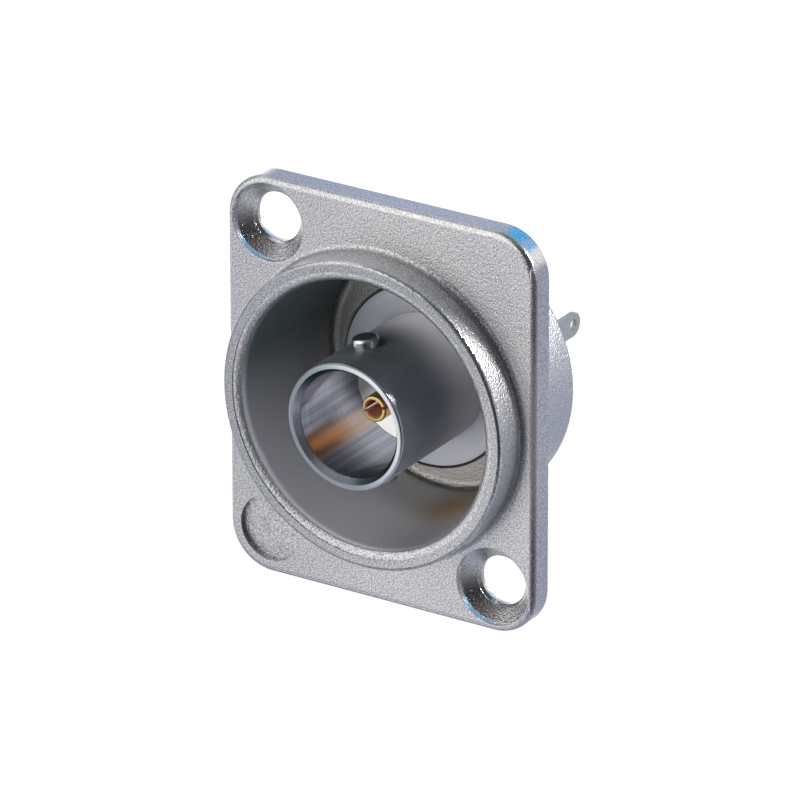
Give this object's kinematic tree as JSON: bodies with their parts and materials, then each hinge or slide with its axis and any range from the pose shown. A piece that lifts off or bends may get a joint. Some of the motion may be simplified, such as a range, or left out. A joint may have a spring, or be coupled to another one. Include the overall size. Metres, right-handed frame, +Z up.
{
  "type": "bnc socket",
  "caption": "Panel-mount coaxial socket: bayonet barrel with studs, recessed in a bell-shaped metal housing on a rectangular flange with diagonal countersunk holes.",
  "frame": {"origin": "centre of the fixing plate's back, on the socket's axis, midway between the two fixing holes", "axes": "+Z up along the plate's longer side, +X to the right seen from the front, +Y back through the panel, so the socket faces -Y"},
  "size_m": [0.026, 0.0253, 0.031],
  "materials": {
    "cast_nickel": "satin nickel plate on a grained zinc casting",
    "turned_nickel": "bright nickel plate on turned brass",
    "nickelled_steel": "nickel plate on spring steel",
    "gilt": "gilt on turned brass",
    "tinned_brass": "dull tin plate on brass sheet",
    "white_insulator": "waxy white insulator",
    "black_insulator": "moulded black plastic"
  },
  "bodies": {
    "root": {"housing": "cast_nickel", "jack_body": "turned_nickel", "bayonet_stud_upper": "turned_nickel", "bayonet_stud_lower": "turned_nickel", "front_dielectric": "white_insulator", "centre_contact": "gilt", "rear_dielectric": "white_insulator", "insulating_bush": "black_insulator", "rear_insulating_washer": "black_insulator", "lock_washer": "nickelled_steel", "hex_nut": "turned_nickel", "solder_tag": "tinned_brass"}
  },
  "joints": []
}
